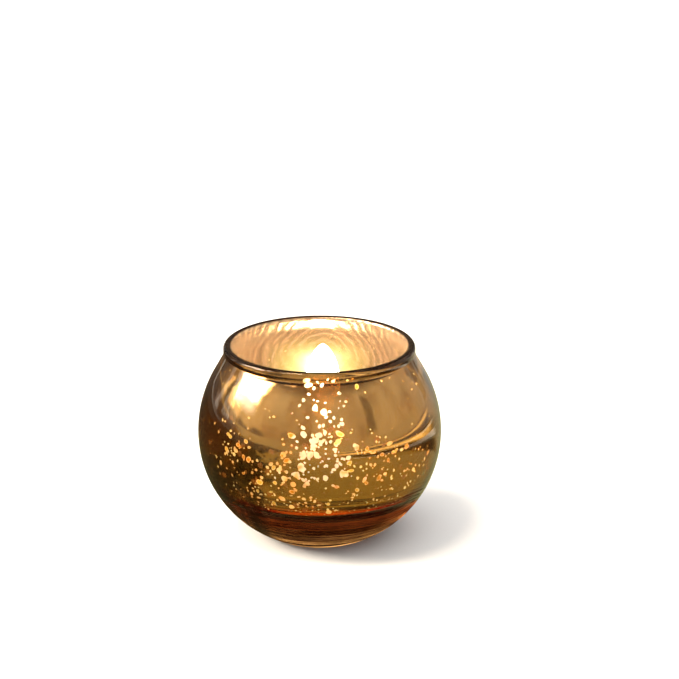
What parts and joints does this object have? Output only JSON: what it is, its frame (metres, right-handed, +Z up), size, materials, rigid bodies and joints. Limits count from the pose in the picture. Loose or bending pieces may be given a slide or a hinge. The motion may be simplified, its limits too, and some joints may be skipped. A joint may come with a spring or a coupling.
{
  "type": "tealight holder",
  "caption": "Round glass tealight holder with a heavy clear base, a rolled lip and a speckled metallised lining; the tealight and its candle lift out.",
  "frame": {"origin": "centre of the foot, on the plane the holder stands on", "axes": "+Z up along the axis of the globe; the globe is turned, so +X and +Y are arbitrary; the wick curls towards +X"},
  "size_m": [0.08, 0.08, 0.0645],
  "materials": {
    "clear_glass": "clear, fire polished, faint amber tint",
    "gold_film": "metallised gold with irregular clear specks",
    "cup_aluminium": "bright drawn sheet",
    "paraffin": "waxy, white",
    "cotton": "braided, charred at the tip",
    "tab_steel": "tinned sheet"
  },
  "bodies": {
    "holder": {"glass_bowl": "clear_glass", "mirror_coating": "gold_film"},
    "tealight": {"tealight_cup": "cup_aluminium"},
    "candle": {"wax": "paraffin", "wick": "cotton", "wick_sustainer": "tab_steel"}
  },
  "joints": [
    {"name": "tealight_lift", "type": "slide", "parent": "holder", "child": "tealight", "axis": [0, 0, 1], "range_m": [0, 0.055]},
    {"name": "candle_lift", "type": "slide", "parent": "tealight", "child": "candle", "axis": [0, 0, 1], "range_m": [0, 0.055]}
  ]
}
